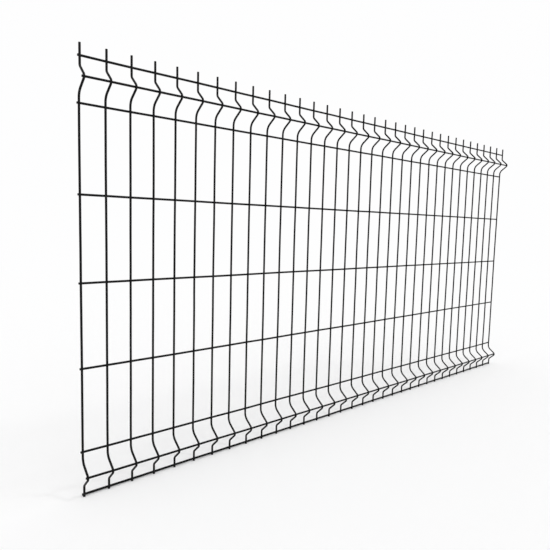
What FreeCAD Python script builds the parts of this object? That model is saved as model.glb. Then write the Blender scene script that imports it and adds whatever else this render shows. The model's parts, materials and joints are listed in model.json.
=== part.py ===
"""Welded mesh fence panel with a V fold along its top and its bottom.

Bent upright wires stand in a row. Straight line wires run along their back and are welded to them at every
crossing, so the panel is one welded piece. Lengths are in millimetres.

Frame: the origin is on the bottom end of the first upright, +X runs along the panel, the folds stand out
towards -Y and +Z is up. The top and bottom edges lie in the plane Y = 0 and the field a little behind it.
"""
import FreeCAD, Part
import math
import os
from enum import IntEnum, auto
from typing import NamedTuple

import Sketcher
from FreeCAD import Vector

# Driving sizes. Each one is a cell of the spreadsheet, under the same name.
SIZES = {
    "upright_count": 34,
    "upright_pitch": 60.0,
    "upright_diameter": 5.0,
    "line_diameter": 5.0,
    "weld_set_down": 0.5,       # how far a weld presses the two wires into each other
    "end_overhang": 3.5,        # line wire past the axis of the last upright
    "bottom_stub": 4.0,         # upright below the axis of the bottom wire
    "top_spike": 26.0,          # upright above the axis of the top wire
    "mesh_height": 200.0,       # between line wires in the flat field
    "mesh_rows": 4,             # rows of mesh in the flat field
    "fold_height": 100.0,       # between the line wires on either side of a fold
    "crest_height": 49.0,       # from the outer line wire of a fold to its crest
    "fold_depth": 31.5,         # from the plane of the field to the crest, axis to axis
    "edge_set_out": 7.0,        # how far the top and bottom edges stand in front of the field
    "field_bend_start": 40.5,   # from the crest to where the upright leaves the field
    "edge_bend_start": 30.5,    # from the crest to where the upright comes back to the edge
    "field_bend_radius": 25.0,  # on the wire's axis
    "edge_bend_radius": 10.0,   # on the wire's axis
    "crest_bend_radius": 8.0,   # on the wire's axis
}

# A wire is a bar of six sides with the section area of the round wire.
SIDES = 6
FLATS_PER_DIAMETER = "sqrt(pi / (2 * sqrt(3)))"

# Places that several pieces share, as expressions on the cells.
UPRIGHT_FLATS = f"(Sizes.upright_diameter * {FLATS_PER_DIAMETER})"
LINE_FLATS = f"(Sizes.line_diameter * {FLATS_PER_DIAMETER})"
AXIS_GAP = f"(({UPRIGHT_FLATS} + {LINE_FLATS}) / 2 - Sizes.weld_set_down)"
BOTTOM_Z = "Sizes.bottom_stub"
LOWER_FOLD_Z = f"({BOTTOM_Z} + Sizes.fold_height)"
UPPER_FOLD_Z = f"({LOWER_FOLD_Z} + Sizes.mesh_rows * Sizes.mesh_height)"
TOP_Z = f"({UPPER_FOLD_Z} + Sizes.fold_height)"
HEIGHT = f"({TOP_Z} + Sizes.top_spike)"
LOWER_CREST_Z = f"({BOTTOM_Z} + Sizes.crest_height)"
UPPER_CREST_Z = f"({TOP_Z} - Sizes.crest_height)"
CREST_DEPTH = "(Sizes.fold_depth - Sizes.edge_set_out)"
CREST_WIRE_Y = f"({AXIS_GAP} - {CREST_DEPTH})"
FIELD_WIRE_Y = f"({AXIS_GAP} + Sizes.edge_set_out)"
LAST_UPRIGHT_X = "((Sizes.upright_count - 1) * Sizes.upright_pitch)"
PANEL_LENGTH = f"({LAST_UPRIGHT_X} + 2 * Sizes.end_overhang)"


class Point(IntEnum):
    """Points of a line or arc in a sketch, in the sketcher's own order."""

    START = auto()
    END = auto()
    CENTRE = auto()


class Band(NamedTuple):
    """The flat edge or field that a leg of a fold comes back to, and the bend between them."""

    name: str
    plane: float
    bend_start: float
    bend_radius: float
    leg_angle: float


START, END, CENTRE = Point

# A sketch's own axes are numbered downwards from minus one.
HORIZONTAL_AXIS = -START
VERTICAL_AXIS = -END
ORIGIN = (HORIZONTAL_AXIS, START)


def make_sheet(doc):
    """Put the driving sizes in a spreadsheet, as named cells."""
    sheet = doc.addObject("Spreadsheet::Sheet", "Sizes")
    for row, (name, value) in enumerate(SIZES.items(), start=1):
        sheet.set(f"A{row}", name.replace("_", " "))
        sheet.set(f"B{row}", str(value))
        sheet.setAlias(f"B{row}", name)
    doc.recompute()
    return sheet


def sketch_on(body, role, name):
    """Start a sketch on one of a body's own planes."""
    plane = next(feature for feature in body.Origin.OriginFeatures if feature.Role == role)
    sketch = body.newObject("Sketcher::SketchObject", name)
    sketch.AttachmentSupport = [(plane, "")]
    sketch.MapMode = "FlatFace"
    return sketch


def dimension(sketch, name, expression, *constraint):
    """Add a named dimension to a sketch and bind it to the sheet."""
    index = sketch.addConstraint(Sketcher.Constraint(*constraint))
    sketch.renameConstraint(index, name)
    sketch.setExpression(f"Constraints.{name}", expression)


def draw_section(sketch, diameter, flats, flats_run):
    """Draw a six-sided bar section about the sketch's origin, two of its flats Horizontal or Vertical."""
    radius = diameter * math.sqrt(math.pi / (2 * math.sqrt(3))) / math.sqrt(3)
    half_side = math.pi / SIDES
    first_corner = 0 if flats_run == "Horizontal" else half_side
    turns = [first_corner + 2 * half_side * step for step in range(SIDES)]
    corners = [Vector(radius * math.cos(turn), radius * math.sin(turn), 0) for turn in turns]
    sides = [
        sketch.addGeometry(Part.LineSegment(corners[step], corners[(step + 1) % SIDES]), False)
        for step in range(SIDES)
    ]
    ring = sketch.addGeometry(Part.Circle(Vector(0, 0, 0), Vector(0, 0, 1), radius), True)
    sketch.addConstraint(Sketcher.Constraint("Coincident", ring, CENTRE, *ORIGIN))
    for step, side in enumerate(sides):
        following = sides[(step + 1) % SIDES]
        sketch.addConstraint(Sketcher.Constraint("Coincident", side, END, following, START))
        sketch.addConstraint(Sketcher.Constraint("PointOnObject", side, START, ring))
        if step:
            sketch.addConstraint(Sketcher.Constraint("Equal", sides[0], side))
    flat_side = sides[1] if flats_run == "Horizontal" else sides[-1]
    sketch.addConstraint(Sketcher.Constraint(flats_run, flat_side))
    dimension(sketch, "corner_radius", f"{flats} / sqrt(3)", "Radius", ring, radius)


def make_band(size, name, plane, depth):
    """Work out the bend at a band, from the depth of the crest in front of it."""
    start, radius = size(f"{name}_bend_start"), size(f"{name}_bend_radius")
    both_bends = radius + size("crest_bend_radius")
    turn = both_bends / math.hypot(both_bends - depth, start)
    leg_angle = math.asin(turn) - math.atan2(both_bends - depth, start)
    return Band(name, plane, start, radius, leg_angle)


def draw_bend_line(sketch, size, value):
    """Draw the axis of an upright: straight runs joined by the bends of its two folds."""
    crest = size("crest_bend_radius")
    crest_depth = value(CREST_DEPTH)
    edge = make_band(size, "edge", 0.0, crest_depth)
    field = make_band(size, "field", size("edge_set_out"), size("fold_depth"))

    def on_arc(centre, radius, turn):
        return Vector(centre.x + radius * math.cos(turn), centre.y + radius * math.sin(turn), 0)

    def add_arc(centre, radius, first, last):
        circle = Part.Circle(centre, Vector(0, 0, 1), radius)
        return sketch.addGeometry(Part.ArcOfCircle(circle, first, last), False)

    def add_run(first, last):
        return sketch.addGeometry(Part.LineSegment(first, last), False)

    def join(first, first_point, second, second_point):
        sketch.addConstraint(Sketcher.Constraint("Tangent", first, first_point, second, second_point))

    runs, crests, corners = [], [], {edge: [], field: []}
    below, bend_below = Vector(0, 0, 0), None
    for name, level, lower, upper in (
        ("lower", LOWER_CREST_Z, edge, field),
        ("upper", UPPER_CREST_Z, field, edge),
    ):
        crest_centre = Vector(crest - crest_depth, value(level), 0)
        first_centre = Vector(lower.plane - lower.bend_radius, crest_centre.y - lower.bend_start, 0)
        second_centre = Vector(upper.plane - upper.bend_radius, crest_centre.y + upper.bend_start, 0)
        run = add_run(below, on_arc(first_centre, lower.bend_radius, 0))
        first = add_arc(first_centre, lower.bend_radius, 0, lower.leg_angle)
        out = add_run(on_arc(first_centre, lower.bend_radius, lower.leg_angle),
                      on_arc(crest_centre, crest, math.pi + lower.leg_angle))
        tip = add_arc(crest_centre, crest, math.pi - upper.leg_angle, math.pi + lower.leg_angle)
        back = add_run(on_arc(crest_centre, crest, math.pi - upper.leg_angle),
                       on_arc(second_centre, upper.bend_radius, -upper.leg_angle))
        second = add_arc(second_centre, upper.bend_radius, -upper.leg_angle, 0)
        if bend_below is not None:
            join(bend_below, END, run, START)
        join(run, END, first, START)
        join(first, END, out, START)
        join(out, END, tip, END)
        join(tip, START, back, START)
        join(back, END, second, START)
        dimension(sketch, f"{name}_crest_level", level, "DistanceY", *ORIGIN, tip, CENTRE, crest_centre.y)
        dimension(sketch, f"{name}_crest_depth", f"{CREST_DEPTH} - Sizes.crest_bend_radius",
                  "DistanceX", tip, CENTRE, *ORIGIN, -crest_centre.x)
        dimension(sketch, f"{name}_start_below", f"Sizes.{lower.name}_bend_start",
                  "DistanceY", first, CENTRE, tip, CENTRE, lower.bend_start)
        dimension(sketch, f"{name}_start_above", f"Sizes.{upper.name}_bend_start",
                  "DistanceY", tip, CENTRE, second, CENTRE, upper.bend_start)
        runs.append(run)
        crests.append(tip)
        corners[lower].append(first)
        corners[upper].append(second)
        below, bend_below = on_arc(second_centre, upper.bend_radius, 0), second
    spike = add_run(below, Vector(0, value(HEIGHT), 0))
    join(bend_below, END, spike, START)
    stub, field_run = runs
    for run in (stub, field_run, spike):
        sketch.addConstraint(Sketcher.Constraint("Vertical", run))
    sketch.addConstraint(Sketcher.Constraint("Coincident", stub, START, *ORIGIN))
    sketch.addConstraint(Sketcher.Constraint("PointOnObject", spike, START, VERTICAL_AXIS))
    dimension(sketch, "set_out", "Sizes.edge_set_out", "DistanceX", *ORIGIN, field_run, START, field.plane)
    for band, arcs in corners.items():
        sketch.addConstraint(Sketcher.Constraint("Equal", *arcs))
        dimension(sketch, f"{band.name}_bend", f"Sizes.{band.name}_bend_radius",
                  "Radius", arcs[0], band.bend_radius)
    sketch.addConstraint(Sketcher.Constraint("Equal", *crests))
    dimension(sketch, "crest_bend", "Sizes.crest_bend_radius", "Radius", crests[0], crest)
    dimension(sketch, "height", HEIGHT, "DistanceY", *ORIGIN, spike, END, value(HEIGHT))


def first_upright(doc, label, size, value):
    """Bend the first upright, which the others copy."""
    body = doc.addObject("PartDesign::Body", label)
    section = sketch_on(body, "XY_Plane", "upright_section")
    draw_section(section, size("upright_diameter"), UPRIGHT_FLATS, "Horizontal")
    bend_line = sketch_on(body, "YZ_Plane", "upright_bend_line")
    draw_bend_line(bend_line, size, value)
    doc.recompute()
    wire = body.newObject("PartDesign::AdditivePipe", "bent_wire")
    wire.Profile = section
    wire.Spine = (bend_line, [f"Edge{number + 1}" for number in range(len(bend_line.Shape.Edges))])
    body.Tip = wire
    doc.recompute()
    return body


def next_upright(doc, label, model):
    """Copy the first upright as a body of its own."""
    body = doc.addObject("PartDesign::Body", label)
    copy = doc.addObject("PartDesign::FeatureBase", f"{label}_copy")
    body.Group = [copy]
    body.Tip = copy
    copy.BaseFeature = model
    return body


def line_wire(doc, label, size, y_place, z_place):
    """Lay one straight line wire along the panel, past both end uprights."""
    body = doc.addObject("PartDesign::Body", label)
    section = sketch_on(body, "YZ_Plane", f"{label}_section")
    draw_section(section, size("line_diameter"), LINE_FLATS, "Vertical")
    doc.recompute()
    wire = body.newObject("PartDesign::Pad", f"{label}_wire")
    wire.Profile = section
    wire.SideType = "Symmetric"
    wire.setExpression("Length", PANEL_LENGTH)
    body.Tip = wire
    body.setExpression("Placement.Base.x", f"{LAST_UPRIGHT_X} / 2")
    body.setExpression("Placement.Base.y", y_place)
    body.setExpression("Placement.Base.z", z_place)
    return body


def check(doc, parts):
    """Stop if an object of the document failed, a sketch is loose or a sub-part isn't one sound solid."""
    for thing in doc.Objects:
        if {"Invalid", "Error"} & set(thing.State):
            raise RuntimeError(f"{thing.Label} did not recompute: {thing.State}")
        if thing.TypeId == "Sketcher::SketchObject" and not thing.FullyConstrained:
            raise RuntimeError(f"{thing.Label} is not fully constrained")
    for part in parts:
        if part.Shape.isNull() or not part.Shape.isValid() or len(part.Shape.Solids) != 1:
            raise RuntimeError(f"{part.Label} is not one sound solid")


def main():
    doc = FreeCAD.newDocument("mesh_fence_panel")
    sheet = make_sheet(doc)

    def size(name):
        return float(sheet.get(name))

    def value(expression):
        return float(sheet.evalExpression(expression))

    uprights = []
    for number in range(int(size("upright_count"))):
        label = f"upright_{number + 1:02d}"
        wire = next_upright(doc, label, uprights[0]) if uprights else first_upright(doc, label, size, value)
        wire.setExpression("Placement.Base.x", f"{number} * Sizes.upright_pitch")
        uprights.append(wire)

    levels = [
        ("bottom_wire", AXIS_GAP, BOTTOM_Z),
        ("lower_crest_wire", CREST_WIRE_Y, LOWER_CREST_Z),
        ("lower_fold_wire", FIELD_WIRE_Y, LOWER_FOLD_Z),
    ]
    for row in range(1, int(size("mesh_rows"))):
        levels.append((f"field_wire_{row}", FIELD_WIRE_Y, f"{LOWER_FOLD_Z} + {row} * Sizes.mesh_height"))
    levels += [
        ("upper_fold_wire", FIELD_WIRE_Y, UPPER_FOLD_Z),
        ("upper_crest_wire", CREST_WIRE_Y, UPPER_CREST_Z),
        ("top_wire", AXIS_GAP, TOP_Z),
    ]
    lines = [line_wire(doc, label, size, y_place, z_place) for label, y_place, z_place in levels]

    panel = doc.addObject("Part::MultiFuse", "mesh_panel")
    panel.Shapes = uprights + lines
    doc.recompute()
    check(doc, uprights + lines + [panel])

    os.makedirs("parts", exist_ok=True)
    panel.Shape.exportStep(f"parts/{panel.Label}.step")


main()
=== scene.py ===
"""Looks of a welded mesh fence panel: round coated wires, their welds and cut ends, in a pale studio.

Lengths are in metres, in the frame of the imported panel. The first upright stands on the origin, +X runs
along the panel, the folds stand out towards -Y and +Z is up.
"""

import json
import logging
import math
from dataclasses import dataclass, field
from enum import Enum, IntEnum
from typing import Any, Callable, Sequence, Union

import bpy
from mathutils import Euler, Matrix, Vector


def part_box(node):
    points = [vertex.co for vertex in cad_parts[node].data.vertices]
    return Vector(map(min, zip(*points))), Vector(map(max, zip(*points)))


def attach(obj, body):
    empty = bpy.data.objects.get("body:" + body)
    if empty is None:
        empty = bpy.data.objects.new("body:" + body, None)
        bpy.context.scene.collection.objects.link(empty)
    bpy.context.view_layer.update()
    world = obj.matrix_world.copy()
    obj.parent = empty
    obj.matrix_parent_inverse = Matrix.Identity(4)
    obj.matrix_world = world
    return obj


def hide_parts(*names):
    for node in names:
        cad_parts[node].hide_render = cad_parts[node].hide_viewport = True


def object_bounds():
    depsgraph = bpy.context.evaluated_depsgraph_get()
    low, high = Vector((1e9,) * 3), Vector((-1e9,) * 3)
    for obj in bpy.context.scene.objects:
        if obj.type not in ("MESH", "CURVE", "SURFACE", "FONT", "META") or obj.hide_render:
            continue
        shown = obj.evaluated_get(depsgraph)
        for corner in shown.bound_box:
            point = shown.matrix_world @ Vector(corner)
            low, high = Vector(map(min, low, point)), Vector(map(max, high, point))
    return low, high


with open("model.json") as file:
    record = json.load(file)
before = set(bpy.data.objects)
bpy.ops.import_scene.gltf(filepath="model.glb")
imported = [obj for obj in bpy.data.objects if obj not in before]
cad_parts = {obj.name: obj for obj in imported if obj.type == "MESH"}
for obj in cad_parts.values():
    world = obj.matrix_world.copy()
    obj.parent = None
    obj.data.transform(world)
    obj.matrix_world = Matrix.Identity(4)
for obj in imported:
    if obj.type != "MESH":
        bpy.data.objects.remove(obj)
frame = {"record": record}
CAD_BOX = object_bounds()

PANEL_NODE = "mesh_panel"
BODY = "root"

Colour = tuple[float, float, float]
Socket = Union[int, str]
log = logging.getLogger("fence_panel")


class Axis(Enum):
    """Directions of the panel."""

    ALONG = Vector((1.0, 0.0, 0.0))
    BACK = Vector((0.0, 1.0, 0.0))
    UP = Vector((0.0, 0.0, 1.0))


class Side(Enum):
    """Sides of the panel, as signs along y."""

    FRONT = -1.0
    BACK = 1.0


class Band(Enum):
    """Where a line wire is welded to the uprights."""

    EDGE = "on the straight top or bottom edge"
    CREST = "inside the crest of a fold"
    FIELD = "on the flat field"


# Shader maths


class MixSocket(IntEnum):
    """Places of a Mix node's sockets when it mixes colours."""

    FACTOR = 0
    RESULT = 2
    FIRST = 6
    SECOND = 7


class Value:
    """An output of a shader node. Arithmetic on it adds Math nodes."""

    def __init__(self, graph: "NodeGraph", socket: bpy.types.NodeSocket) -> None:
        """Hold the socket and the graph that it belongs to."""
        self.graph = graph
        self.socket = socket

    def _math(self, operation: str, first: "Operand", second: "Operand") -> "Value":
        """Add one Math node."""
        return self.graph.node("ShaderNodeMath", {"operation": operation}, {0: first, 1: second})

    def __add__(self, other: "Operand") -> "Value":
        """Return self + other."""
        return self._math("ADD", self, other)

    __radd__ = __add__

    def __sub__(self, other: "Operand") -> "Value":
        """Return self - other."""
        return self._math("SUBTRACT", self, other)

    def __mul__(self, other: "Operand") -> "Value":
        """Return self * other."""
        return self._math("MULTIPLY", self, other)

    __rmul__ = __mul__

    def __or__(self, other: "Operand") -> "Value":
        """Return the larger of two masks."""
        return self._math("MAXIMUM", self, other)


Operand = Union[Value, float]


class NodeGraph:
    """The node tree of a material or of the world, emptied and ready to be filled."""

    def __init__(self, owner: Union[bpy.types.Material, bpy.types.World]) -> None:
        """Take over the owner's node tree.

        Args:
            owner: material or world to build nodes in.
        """
        owner.use_nodes = True
        self.tree = owner.node_tree
        self.tree.nodes.clear()

    def node(
        self, kind: str, settings: dict[str, Any], inputs: dict[Socket, Any], output: Socket = 0
    ) -> Value:
        """Add a node.

        Args:
            kind: the node's type.
            settings: properties of the node, which are set first.
            inputs: values or links of its sockets, by name or place.
            output: name or place of the output to return.

        Returns:
            The named output.
        """
        made = self.tree.nodes.new(kind)
        for name, setting in settings.items():
            setattr(made, name, setting)
        for name, content in inputs.items():
            if isinstance(content, Value):
                self.tree.links.new(content.socket, made.inputs[name])
            else:
                made.inputs[name].default_value = content
        return Value(self, made.outputs[output] if len(made.outputs) else None)

    def noise(self, place: Value, per_metre: float, detail: float) -> Value:
        """Add a noise pattern.

        Args:
            place: coordinates that it reads.
            per_metre: how many waves fit in a metre.
            detail: octaves of finer noise on top.

        Returns:
            The noise, from 0 to 1.
        """
        inputs = {"Vector": place, "Scale": per_metre, "Detail": detail}
        return self.node("ShaderNodeTexNoise", {}, inputs, "Fac")

    def ramp(self, value: Value, low: float, high: float) -> Value:
        """Return a smooth rise from 0 at low to 1 at high."""
        return self.node(
            "ShaderNodeMapRange",
            {"interpolation_type": "SMOOTHSTEP"},
            {"Value": value, "From Min": low, "From Max": high},
        )

    def blend(self, share: Value, first: Any, second: Any) -> Value:
        """Return a colour between two, the second where share is 1."""
        return self.node(
            "ShaderNodeMix",
            {"data_type": "RGBA", "clamp_factor": True},
            {MixSocket.FACTOR: share, MixSocket.FIRST: first, MixSocket.SECOND: second},
            MixSocket.RESULT,
        )

    def seen_directly(self) -> Value:
        """Return 1 on rays from the camera, in reflections and through glass, and 0 on light."""
        seen, mirrored, through = [
            self.node("ShaderNodeLightPath", {}, {}, name)
            for name in ("Is Camera Ray", "Is Glossy Ray", "Is Transmission Ray")
        ]
        return seen | mirrored | through


def opaque(colour: Colour) -> tuple[float, float, float, float]:
    """Return a colour with full alpha."""
    return (*colour, 1.0)


# Finishes


@dataclass(frozen=True)
class PowderCoat:
    """Satin black powder coat with a fine orange peel and a trace of dust on what faces up."""

    name: str = "black_powder_coat"
    deep: Colour = (0.0022, 0.0022, 0.0024)
    thin: Colour = (0.0044, 0.0044, 0.0047)
    dust: Colour = (0.0360, 0.0350, 0.0340)
    dust_share: float = 0.08
    dust_slopes: tuple[float, float] = (0.2, 0.95)
    dust_evenness: float = 0.4
    shine: float = 0.10
    roughness: float = 0.34
    roughness_spread: float = 0.10
    patches_per_metre: float = 16.0
    patch_edges: tuple[float, float] = (0.3, 0.7)
    peel_per_metre: float = 620.0
    peel_share: float = 0.75
    grain_per_metre: float = 2600.0
    relief: float = 0.00006

    def material(self) -> bpy.types.Material:
        """Build the material.

        Returns:
            The coat, patterned on the object's own coordinates.
        """
        made = bpy.data.materials.new(self.name)
        graph = NodeGraph(made)
        place = graph.node("ShaderNodeTexCoord", {}, {}, "Object")
        patches = graph.ramp(graph.noise(place, self.patches_per_metre, detail=3.0), *self.patch_edges)
        peel = graph.noise(place, self.peel_per_metre, detail=1.0)
        grain = graph.noise(place, self.grain_per_metre, detail=2.0)
        facing = graph.node("ShaderNodeNewGeometry", {}, {}, "Normal")
        up = graph.node("ShaderNodeSeparateXYZ", {}, {0: facing}, "Z")
        speckle = self.dust_evenness + (1.0 - self.dust_evenness) * grain
        dust = graph.ramp(up, *self.dust_slopes) * speckle * self.dust_share
        coat = graph.blend(patches, opaque(self.deep), opaque(self.thin))
        height = self.peel_share * peel + (1.0 - self.peel_share) * grain
        relief = {"Strength": 1.0, "Distance": self.relief, "Height": height}
        bump = graph.node("ShaderNodeBump", {}, relief)
        shader = graph.node(
            "ShaderNodeBsdfPrincipled",
            {},
            {
                "Base Color": graph.blend(dust, coat, opaque(self.dust)),
                "Roughness": self.roughness + self.roughness_spread * (patches - 0.5) + dust,
                "Specular IOR Level": self.shine,
                "Normal": bump,
            },
        )
        graph.node("ShaderNodeOutputMaterial", {}, {"Surface": shader})
        return made


@dataclass(frozen=True)
class PaleFloor:
    """Pale matt studio floor that fades into the white behind it, away from the panel."""

    name: str = "pale_floor"
    near: Colour = (0.970, 0.970, 0.970)
    white: Colour = (0.990, 0.990, 0.993)
    mottle: float = 0.008
    speckles_per_metre: float = 40.0
    roughness: float = 0.9
    fade_start: float = 2.2
    fade_end: float = 6.0

    def material(self, middle: Vector) -> bpy.types.Material:
        """Build the material.

        Args:
            middle: point of the floor under the middle of the panel.

        Returns:
            A matt floor that keeps shadows near that point.
        """
        made = bpy.data.materials.new(self.name)
        graph = NodeGraph(made)
        place = graph.node("ShaderNodeTexCoord", {}, {}, "Object")
        ends = {0: place, 1: middle}
        reach = graph.node("ShaderNodeVectorMath", {"operation": "DISTANCE"}, ends, "Value")
        far = graph.ramp(reach, self.fade_start, self.fade_end)
        speckle = graph.noise(place, self.speckles_per_metre, detail=4.0)
        worn = tuple(part - self.mottle for part in self.near)
        matt = graph.node(
            "ShaderNodeBsdfPrincipled",
            {},
            {
                "Base Color": graph.blend(speckle, opaque(self.near), opaque(worn)),
                "Roughness": self.roughness,
                "Specular IOR Level": 0.0,
            },
        )
        glow = graph.node("ShaderNodeEmission", {}, {"Color": opaque(self.white), "Strength": 1.0})
        fade = far * graph.seen_directly()
        surface = graph.node("ShaderNodeMixShader", {}, {0: fade, 1: matt, 2: glow})
        graph.node("ShaderNodeOutputMaterial", {}, {"Surface": surface})
        return made


# Modelling helpers


def clear_selection() -> None:
    """Leave edit mode and deselect everything."""
    if bpy.context.object and bpy.context.object.mode != "OBJECT":
        bpy.ops.object.mode_set(mode="OBJECT")
    bpy.ops.object.select_all(action="DESELECT")


def pick(piece: bpy.types.Object) -> None:
    """Select one piece alone and make it active."""
    clear_selection()
    piece.select_set(True)
    bpy.context.view_layer.objects.active = piece


def select_faces(piece: bpy.types.Object, wanted: Callable[[bpy.types.MeshPolygon], bool]) -> None:
    """Select the faces of the piece in edit mode that pass a test of their place or normal.

    Args:
        piece: the mesh object being edited.
        wanted: the test.
    """
    bpy.ops.mesh.select_mode(type="FACE")
    bpy.ops.mesh.select_all(action="DESELECT")
    bpy.ops.object.mode_set(mode="OBJECT")
    for face in piece.data.polygons:
        face.select = wanted(face)
    bpy.ops.object.mode_set(mode="EDIT")


def select_points(piece: bpy.types.Object, wanted: Callable[[Vector], bool]) -> None:
    """Select the vertices of the piece in edit mode that pass a test of their place.

    Args:
        piece: the mesh object being edited.
        wanted: the test.
    """
    bpy.ops.mesh.select_mode(type="VERT")
    bpy.ops.mesh.select_all(action="DESELECT")
    bpy.ops.object.mode_set(mode="OBJECT")
    for vertex in piece.data.vertices:
        vertex.select = wanted(vertex.co)
    bpy.ops.object.mode_set(mode="EDIT")


def copy_piece(piece: bpy.types.Object, name: str, offset: Vector) -> bpy.types.Object:
    """Copy a piece with its own mesh and move the copy.

    Args:
        piece: what to copy.
        name: name of the copy.
        offset: how far to move it.

    Returns:
        The copy, with its place in its mesh.
    """
    pick(piece)
    bpy.ops.object.duplicate(linked=False)
    made = bpy.context.object
    bpy.ops.transform.translate(value=offset)
    bpy.ops.object.transform_apply(location=True, rotation=True, scale=True)
    made.name = made.data.name = name
    return made


@dataclass
class WireBender:
    """Feeds a round wire along straight runs and bends, as a bending machine does.

    The wire starts as a circle, and each run extrudes or each bend spins its open end.
    """

    name: str
    diameter: float
    start: Vector
    heading: Vector
    sides: int = 16
    longest_step: float = 0.045
    bend_step: float = math.radians(11.0)
    end_round: float = 0.0006
    end_segments: int = 2
    smooth_angle: float = math.radians(50.0)
    merge_share: float = 0.01
    order_back: float = 0.4
    order_aside: tuple[float, float, float] = (0.050, 0.041, 0.022)
    point: Vector = field(init=False)
    piece: bpy.types.Object = field(init=False)

    def __post_init__(self) -> None:
        """Add the circle at the wire's first end."""
        self.point = self.start.copy()
        clear_selection()
        bpy.ops.mesh.primitive_circle_add(
            vertices=self.sides,
            radius=self.diameter / 2,
            fill_type="NOTHING",
            calc_uvs=False,
            enter_editmode=True,
            location=self.start,
            rotation=self.heading.to_track_quat("Z", "Y").to_euler(),
        )
        bpy.ops.mesh.select_mode(type="EDGE")
        bpy.ops.mesh.select_all(action="SELECT")
        self.piece = bpy.context.object
        self.piece.name = self.piece.data.name = self.name

    def run(self, length: float, stops: Sequence[float] = ()) -> None:
        """Feed the wire straight on.

        Args:
            length: how far.
            stops: distances at which the wire gets a ring on the way. Those off the stretch are
                left out.
        """
        fed = 0.0
        on_the_way = [stop for stop in sorted(stops) if self.end_round < stop < length - self.end_round]
        for stop in [*on_the_way, length]:
            steps = max(1, math.ceil((stop - fed) / self.longest_step))
            step = self.heading * ((stop - fed) / steps)
            for _ in range(steps):
                bpy.ops.mesh.extrude_region_move(TRANSFORM_OT_translate={"value": step})
            fed = stop
        self.point += self.heading * length

    def bend(self, radius: float, turn: float) -> None:
        """Bend the wire about an axis along the panel.

        Args:
            radius: bend radius on the wire's axis.
            turn: angle of the bend, positive towards the front of the panel.
        """
        axis = Axis.ALONG.value
        inward = axis.cross(self.heading) * math.copysign(1.0, turn)
        centre = self.point + inward * radius
        steps = max(2, math.ceil(abs(turn) / self.bend_step))
        bpy.ops.mesh.spin(steps=steps, angle=-turn, center=centre, axis=axis)
        turned = Euler((turn, 0.0, 0.0)).to_matrix()
        self.point = centre + turned @ (self.point - centre)
        self.heading = turned @ self.heading

    def put_in_order(self) -> None:
        """Number the edges and faces from the wire's first end on.

        Extruding and spinning number them differently in each run. They are sorted by their distance
        from a point behind that end, off the wire's axis, so that no two are equally far from it.
        """
        cursor = bpy.context.scene.cursor
        home = cursor.location.copy()
        cursor.location = self.start - self.heading * self.order_back + Vector(self.order_aside)
        bpy.ops.mesh.select_all(action="SELECT")
        bpy.ops.mesh.sort_elements(type="CURSOR_DISTANCE", elements={"EDGE", "FACE"})
        cursor.location = home

    def cut_off(self) -> bpy.types.Object:
        """Close both ends, round their rims as the coat does, and smooth the wire.

        Returns:
            The finished wire, with its place in its mesh.
        """
        bpy.ops.mesh.select_all(action="SELECT")
        bpy.ops.mesh.remove_doubles(threshold=self.diameter * self.merge_share)
        bpy.ops.mesh.fill_holes(sides=0)
        bpy.ops.mesh.select_all(action="SELECT")
        bpy.ops.mesh.normals_make_consistent(inside=False)
        select_faces(self.piece, lambda face: face.loop_total == self.sides)
        bpy.ops.mesh.bevel(offset=self.end_round, segments=self.end_segments, affect="EDGES")
        self.put_in_order()
        bpy.ops.object.mode_set(mode="OBJECT")
        bpy.ops.object.shade_smooth_by_angle(angle=self.smooth_angle)
        bpy.ops.object.transform_apply(location=True, rotation=True, scale=True)
        return self.piece


@dataclass(frozen=True)
class ElectrodeMark:
    """The shallow flat that a welding electrode presses into a wire, on the side away from the weld."""

    half_length: float = 0.0026
    shoulder: float = 0.0016
    depth: float = 0.0003

    def rings(self, places: Sequence[float]) -> list[float]:
        """List where a wire needs rings for marks at some places along it."""
        outer = self.half_length + self.shoulder
        offsets = (-outer, -self.half_length, self.half_length, outer)
        return [place + offset for place in places for offset in offsets]

    def press(
        self, piece: bpy.types.Object, along: Axis, places: Sequence[float], surface: float, side: Side
    ) -> None:
        """Press the flats into a finished wire.

        Args:
            piece: the wire, with rings at the marks.
            along: direction in which the wire runs.
            places: where the marks are along it.
            surface: the wire's foremost or rearmost y at the marks.
            side: side of the panel on which the marks are.
        """
        reach = self.half_length + self.shoulder / 2
        flat = surface - side.value * self.depth

        def stands_out(point: Vector) -> bool:
            """Tell whether a point of the wire is past the flat of a mark."""
            if (point.y - flat) * side.value <= 0:
                return False
            return any(abs(point.dot(along.value) - place) < reach for place in places)

        pick(piece)
        bpy.ops.object.mode_set(mode="EDIT")
        select_points(piece, stands_out)
        bpy.ops.transform.resize(value=(1.0, 0.0, 1.0), center_override=(0.0, flat, 0.0))
        bpy.ops.object.mode_set(mode="OBJECT")


# The panel


@dataclass(frozen=True)
class Bend:
    """The bend where a leg of a fold comes back to an edge or to the field, on an upright's axis."""

    start: float
    radius: float
    leg_angle: float
    leg_length: float


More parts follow.
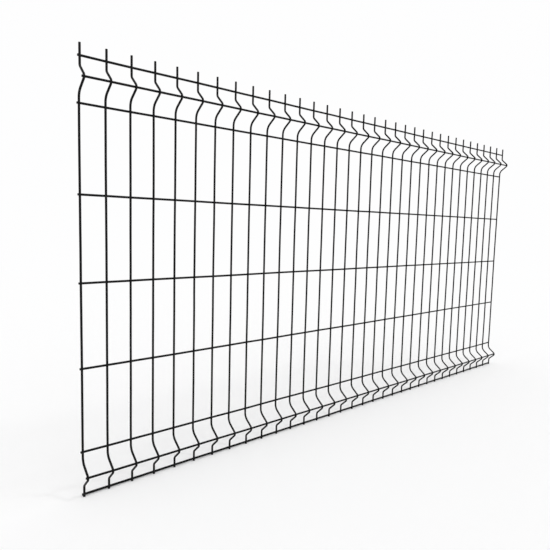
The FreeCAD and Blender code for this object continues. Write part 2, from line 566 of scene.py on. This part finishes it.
@dataclass(frozen=True)
class Fold:
    """One V fold, with sizes on the axis of an upright."""

    edge_set_out: float
    crest_height: float = 0.049
    depth: float = 0.0315
    crest_radius: float = 0.008
    field_bend_start: float = 0.0405
    field_bend_radius: float = 0.025
    edge_bend_start: float = 0.0305
    edge_bend_radius: float = 0.010

    @property
    def crest_depth(self) -> float:
        """How far the crest stands in front of the edges."""
        return self.depth - self.edge_set_out

    def bend(self, band: Band) -> Bend:
        """Work out the bend at one end of a leg.

        Args:
            band: the band that the leg comes back to, the edge or the field.

        Returns:
            The bend, with the leg's angle from upright and its straight length up to the crest's bend.
        """
        depth, start, radius = {
            Band.EDGE: (self.crest_depth, self.edge_bend_start, self.edge_bend_radius),
            Band.FIELD: (self.depth, self.field_bend_start, self.field_bend_radius),
        }[band]
        radii = radius + self.crest_radius
        centres = math.hypot(radii - depth, start)
        angle = math.asin(radii / centres) - math.atan2(radii - depth, start)
        return Bend(start, radius, angle, math.sqrt(centres**2 - radii**2))


@dataclass(frozen=True)
class PanelSizes:
    """Sizes of the whole panel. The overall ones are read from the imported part."""

    wire_span: tuple[float, float]
    upright_span: tuple[float, float]
    fold_levels: tuple[float, float]
    edge_levels: tuple[float, float]
    field_y: float
    height: float
    pitch: float = 0.060
    wire: float = 0.005
    coat: float = 0.00025
    weld_set_down: float = 0.0007
    mesh_rows: int = 4

    @classmethod
    def from_frame(cls, fold_height: float = 0.100) -> "PanelSizes":
        """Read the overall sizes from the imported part's box and its clip places.

        Args:
            fold_height: between the line wires on either side of a fold.

        Returns:
            The sizes.
        """
        low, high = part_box(PANEL_NODE)
        clips = {mount["name"]: Vector(mount["pos_m"]) for mount in frame["record"]["mounts"]}
        first, last = clips["left_clip_low"], clips["right_clip_high"]
        return cls(
            wire_span=(low.x, high.x),
            upright_span=(first.x, last.x),
            fold_levels=(first.z, last.z),
            edge_levels=(first.z - fold_height, last.z + fold_height),
            field_y=first.y,
            height=high.z,
        )

    @property
    def upright_count(self) -> int:
        """How many uprights stand in the panel."""
        return round((self.upright_span[1] - self.upright_span[0]) / self.pitch) + 1

    @property
    def upright_places(self) -> list[float]:
        """Where the uprights stand along the panel."""
        return [self.upright_span[0] + number * self.pitch for number in range(self.upright_count)]

    @property
    def field_levels(self) -> list[float]:
        """Levels of the line wires on the flat field, with the two next to the folds."""
        lower, upper = self.fold_levels
        return [lower + row * (upper - lower) / self.mesh_rows for row in range(self.mesh_rows + 1)]

    @property
    def coated_wire(self) -> float:
        """Diameter of a wire with its coat."""
        return self.wire + 2 * self.coat

    @property
    def axis_gap(self) -> float:
        """Between the axes of an upright and of a line wire, where they are welded."""
        return self.wire - self.weld_set_down


@dataclass
class Uprights:
    """The bent upright wires. The first one is bent and marked, and the others are its copies."""

    sizes: PanelSizes
    fold: Fold
    mark: ElectrodeMark = ElectrodeMark()

    def run_up(self, bender: WireBender, top: float) -> None:
        """Feed a straight stretch up to a level, with rings for the electrode marks on it.

        Args:
            bender: the machine with the wire in it.
            top: the level.
        """
        start = bender.point.z
        levels = [*self.sizes.edge_levels, *self.sizes.field_levels]
        bender.run(top - start, [ring - start for ring in self.mark.rings(levels)])

    def bend_fold(self, bender: WireBender, first: Bend, second: Bend) -> None:
        """Bend one fold, out to its crest and back.

        Args:
            bender: the machine with the wire in it.
            first: the bend at the lower leg.
            second: the bend at the upper leg.
        """
        bender.bend(first.radius, first.leg_angle)
        bender.run(first.leg_length)
        bender.bend(self.fold.crest_radius, -first.leg_angle - second.leg_angle)
        bender.run(second.leg_length)
        bender.bend(second.radius, second.leg_angle)

    def bent_wire(self) -> bpy.types.Object:
        """Bend the first upright, from its cut foot to the tip of its spike.

        Returns:
            The upright.
        """
        fold = self.fold
        edge, field_bend = fold.bend(Band.EDGE), fold.bend(Band.FIELD)
        lower_crest = self.sizes.edge_levels[0] + fold.crest_height
        upper_crest = self.sizes.edge_levels[1] - fold.crest_height
        foot = Vector((self.sizes.upright_span[0], 0.0, 0.0))
        bender = WireBender("upright_01", self.sizes.coated_wire, foot, Axis.UP.value)
        self.run_up(bender, lower_crest - edge.start)
        self.bend_fold(bender, edge, field_bend)
        self.run_up(bender, upper_crest - field_bend.start)
        self.bend_fold(bender, field_bend, edge)
        self.run_up(bender, self.sizes.height)
        upright = bender.cut_off()
        marked = ((0.0, self.sizes.edge_levels), (self.sizes.field_y, self.sizes.field_levels))
        for plane, levels in marked:
            front = plane - self.sizes.coated_wire / 2
            self.mark.press(upright, Axis.UP, levels, front, Side.FRONT)
        return upright

    def build(self) -> list[bpy.types.Object]:
        """Bend the first upright and copy it along the panel.

        Returns:
            All uprights, from the first end on.
        """
        first = self.bent_wire()
        pitch = Axis.ALONG.value * self.sizes.pitch
        copies = [
            copy_piece(first, f"upright_{number + 1:02d}", pitch * number)
            for number in range(1, self.sizes.upright_count)
        ]
        return [first, *copies]


@dataclass
class LineWire:
    """One straight line wire along the back of the uprights, with its row of welds."""

    name: str
    level: float
    band: Band
    sizes: PanelSizes
    fold: Fold
    weld_radius: float = 0.0034
    weld_thickness: float = 0.0009
    weld_shoulder: float = 0.0011
    weld_rise: float = 0.0007
    weld_sides: int = 10
    weld_smooth_angle: float = math.radians(70.0)
    cap_facing: float = 0.9
    mark: ElectrodeMark = ElectrodeMark()

    @property
    def upright_y(self) -> float:
        """Where the axes of the uprights are at this level."""
        return {
            Band.EDGE: 0.0,
            Band.CREST: -self.fold.crest_depth,
            Band.FIELD: self.sizes.field_y,
        }[self.band]

    def wire(self) -> bpy.types.Object:
        """Feed the straight wire, cut it off and mark it.

        Returns:
            The wire.
        """
        start, end = self.sizes.wire_span
        first = Vector((start, self.upright_y + self.sizes.axis_gap, self.level))
        places = self.sizes.upright_places
        bender = WireBender(self.name, self.sizes.coated_wire, first, Axis.ALONG.value)
        bender.run(end - start, [ring - start for ring in self.mark.rings(places)])
        line = bender.cut_off()
        self.mark.press(line, Axis.ALONG, places, first.y + self.sizes.coated_wire / 2, Side.BACK)
        return line

    def welds(self) -> bpy.types.Object:
        """Model one weld, squeezed out between two wires, and repeat it at every upright.

        Returns:
            The row of welds.
        """
        contact_y = self.upright_y + self.sizes.axis_gap / 2
        contact = Vector((self.sizes.upright_span[0], contact_y, self.level))
        clear_selection()
        bpy.ops.mesh.primitive_cylinder_add(
            vertices=self.weld_sides,
            radius=self.weld_radius,
            depth=self.weld_thickness,
            end_fill_type="NGON",
            calc_uvs=False,
            enter_editmode=True,
            location=contact,
            rotation=(math.pi / 2, 0.0, 0.0),
        )
        row = bpy.context.object
        row.name = row.data.name = self.name.replace("wire", "welds")
        # The laid cylinder's own z points to the front of the panel.
        for side in (Side.BACK, Side.FRONT):
            select_faces(row, lambda face: -face.normal.z * side.value > self.cap_facing)
            bpy.ops.mesh.inset(thickness=self.weld_shoulder)
            bpy.ops.transform.translate(value=Axis.BACK.value * (side.value * self.weld_rise))
        bpy.ops.object.mode_set(mode="OBJECT")
        bpy.ops.object.transform_apply(location=True, rotation=True, scale=True)
        bpy.ops.object.shade_smooth_by_angle(angle=self.weld_smooth_angle)
        repeat = row.modifiers.new("along_the_wire", "ARRAY")
        repeat.count = self.sizes.upright_count
        repeat.use_relative_offset = False
        repeat.use_constant_offset = True
        repeat.constant_offset_displace = Axis.ALONG.value * self.sizes.pitch
        bpy.ops.object.modifier_apply(modifier=repeat.name)
        return row


@dataclass
class MeshPanel:
    """The whole panel: uprights, line wires and welds, under one coat."""

    sizes: PanelSizes
    coat: PowderCoat = PowderCoat()
    waver: float = 0.0016
    waver_length: float = 0.22
    fold: Fold = field(init=False)

    def __post_init__(self) -> None:
        """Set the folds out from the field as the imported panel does."""
        self.fold = Fold(edge_set_out=self.sizes.field_y)

    def line_wires(self) -> list[LineWire]:
        """List the line wires from the bottom up."""
        sizes, fold = self.sizes, self.fold
        bottom, top = sizes.edge_levels
        lower, *between, upper = sizes.field_levels
        levels = [
            ("bottom_wire", bottom, Band.EDGE),
            ("lower_crest_wire", bottom + fold.crest_height, Band.CREST),
            ("lower_fold_wire", lower, Band.FIELD),
        ]
        for row, level in enumerate(between, start=1):
            levels.append((f"field_wire_{row}", level, Band.FIELD))
        levels += [
            ("upper_fold_wire", upper, Band.FIELD),
            ("upper_crest_wire", top - fold.crest_height, Band.CREST),
            ("top_wire", top, Band.EDGE),
        ]
        return [LineWire(name, level, band, sizes, fold) for name, level, band in levels]

    def settle(self, piece: bpy.types.Object, unevenness: bpy.types.Texture) -> None:
        """Take the wires a fraction of a millimetre off true, the same way wherever they meet.

        Args:
            piece: a finished wire or row of welds.
            unevenness: pattern of the shifts, shared by all pieces.
        """
        pick(piece)
        shift = piece.modifiers.new("unevenness", "DISPLACE")
        shift.texture = unevenness
        shift.texture_coords = "GLOBAL"
        shift.direction = "RGB_TO_XYZ"
        shift.mid_level = 0.5
        shift.strength = self.waver
        bpy.ops.object.modifier_apply(modifier=shift.name)

    def dress(self, piece: bpy.types.Object, coat: bpy.types.Material) -> None:
        """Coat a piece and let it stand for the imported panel.

        Args:
            piece: a finished wire or row of welds.
            coat: the coat's material.
        """
        piece.data.materials.clear()
        piece.data.materials.append(coat)
        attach(piece, BODY)
        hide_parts(PANEL_NODE)
        log.info("%s: %d faces", piece.name, len(piece.data.polygons))

    def build(self) -> None:
        """Make every piece of the panel and dress it."""
        pieces = Uprights(self.sizes, self.fold).build()
        for line in self.line_wires():
            pieces += [line.wire(), line.welds()]
        unevenness = bpy.data.textures.new("wire_unevenness", "CLOUDS")
        unevenness.cloud_type = "COLOR"
        unevenness.noise_scale = self.waver_length
        coat = self.coat.material()
        for piece in pieces:
            self.settle(piece, unevenness)
            self.dress(piece, coat)


# The studio


@dataclass(frozen=True)
class SunLamp:
    """A lamp far away. Its softness, and its turn from straight down, are in degrees."""

    name: str
    strength: float
    softness: float
    turn: tuple[float, float]

    def hang(self) -> None:
        """Add the lamp."""
        across, along = self.turn
        bpy.ops.object.light_add(type="SUN", rotation=(math.radians(across), math.radians(along), 0.0))
        lamp = bpy.context.object
        lamp.name = self.name
        lamp.data.energy = self.strength
        lamp.data.angle = math.radians(self.softness)


@dataclass
class Studio:
    """Pale floor, soft light and the camera."""

    middle: Vector
    floor: PaleFloor = PaleFloor()
    floor_radius: float = 60.0
    floor_sides: int = 96
    floor_rim: float = 0.05
    sky_light: float = 0.74
    broad_lamp: SunLamp = SunLamp("broad_lamp", strength=0.80, softness=60.0, turn=(38.0, -18.0))
    small_lamp: SunLamp = SunLamp("small_lamp", strength=0.42, softness=8.0, turn=(23.6, 33.0))
    camera_place: tuple[float, float, float] = (-0.4236, -1.1466, 0.6457)
    camera_turn: tuple[float, float, float] = (84.488, -1.470, -40.988)
    camera_lens: float = 33.34
    camera_range: tuple[float, float] = (0.05, 240.0)

    def lay_floor(self) -> None:
        """Lay a round floor under the panel, its rim turned down out of sight."""
        clear_selection()
        bpy.ops.mesh.primitive_circle_add(
            vertices=self.floor_sides,
            radius=self.floor_radius,
            fill_type="NGON",
            calc_uvs=False,
            enter_editmode=True,
        )
        bpy.ops.mesh.extrude_region_move(TRANSFORM_OT_translate={"value": (0.0, 0.0, -self.floor_rim)})
        bpy.ops.mesh.select_all(action="SELECT")
        bpy.ops.mesh.normals_make_consistent(inside=False)
        bpy.ops.object.mode_set(mode="OBJECT")
        ground = bpy.context.object
        ground.name = ground.data.name = "studio_floor"
        ground.data.materials.append(self.floor.material(self.middle))

    def light(self) -> None:
        """Set a pale surround, a broad lamp at the front left and a small one for the wires' sheen."""
        world = bpy.data.worlds.new("studio_white")
        bpy.context.scene.world = world
        graph = NodeGraph(world)
        white = opaque(self.floor.white)
        seen = graph.node("ShaderNodeBackground", {}, {"Color": white, "Strength": 1.0})
        lit = graph.node("ShaderNodeBackground", {}, {"Color": white, "Strength": self.sky_light})
        surround = graph.node("ShaderNodeMixShader", {}, {0: graph.seen_directly(), 1: lit, 2: seen})
        graph.node("ShaderNodeOutputWorld", {}, {"Surface": surround})
        self.broad_lamp.hang()
        self.small_lamp.hang()

    def aim_camera(self) -> None:
        """Stand the camera in front of the near end, a little under two thirds up the panel."""
        turn = [math.radians(degrees) for degrees in self.camera_turn]
        bpy.ops.object.camera_add(location=self.camera_place, rotation=turn)
        camera = bpy.context.object
        camera.name = "product_view"
        camera.data.lens = self.camera_lens
        camera.data.clip_start, camera.data.clip_end = self.camera_range
        bpy.context.scene.camera = camera

    def build(self) -> None:
        """Make the whole studio."""
        clear_selection()
        self.lay_floor()
        self.light()
        self.aim_camera()
        bpy.context.scene.view_settings.view_transform = "Standard"


def main() -> None:
    """Build the panel and the studio around it."""
    logging.basicConfig(level=logging.INFO, format="%(message)s")
    low, high = CAD_BOX
    MeshPanel(PanelSizes.from_frame()).build()
    Studio(middle=Vector(((low.x + high.x) / 2, 0.0, 0.0))).build()


if __name__ == "__main__":
    main()
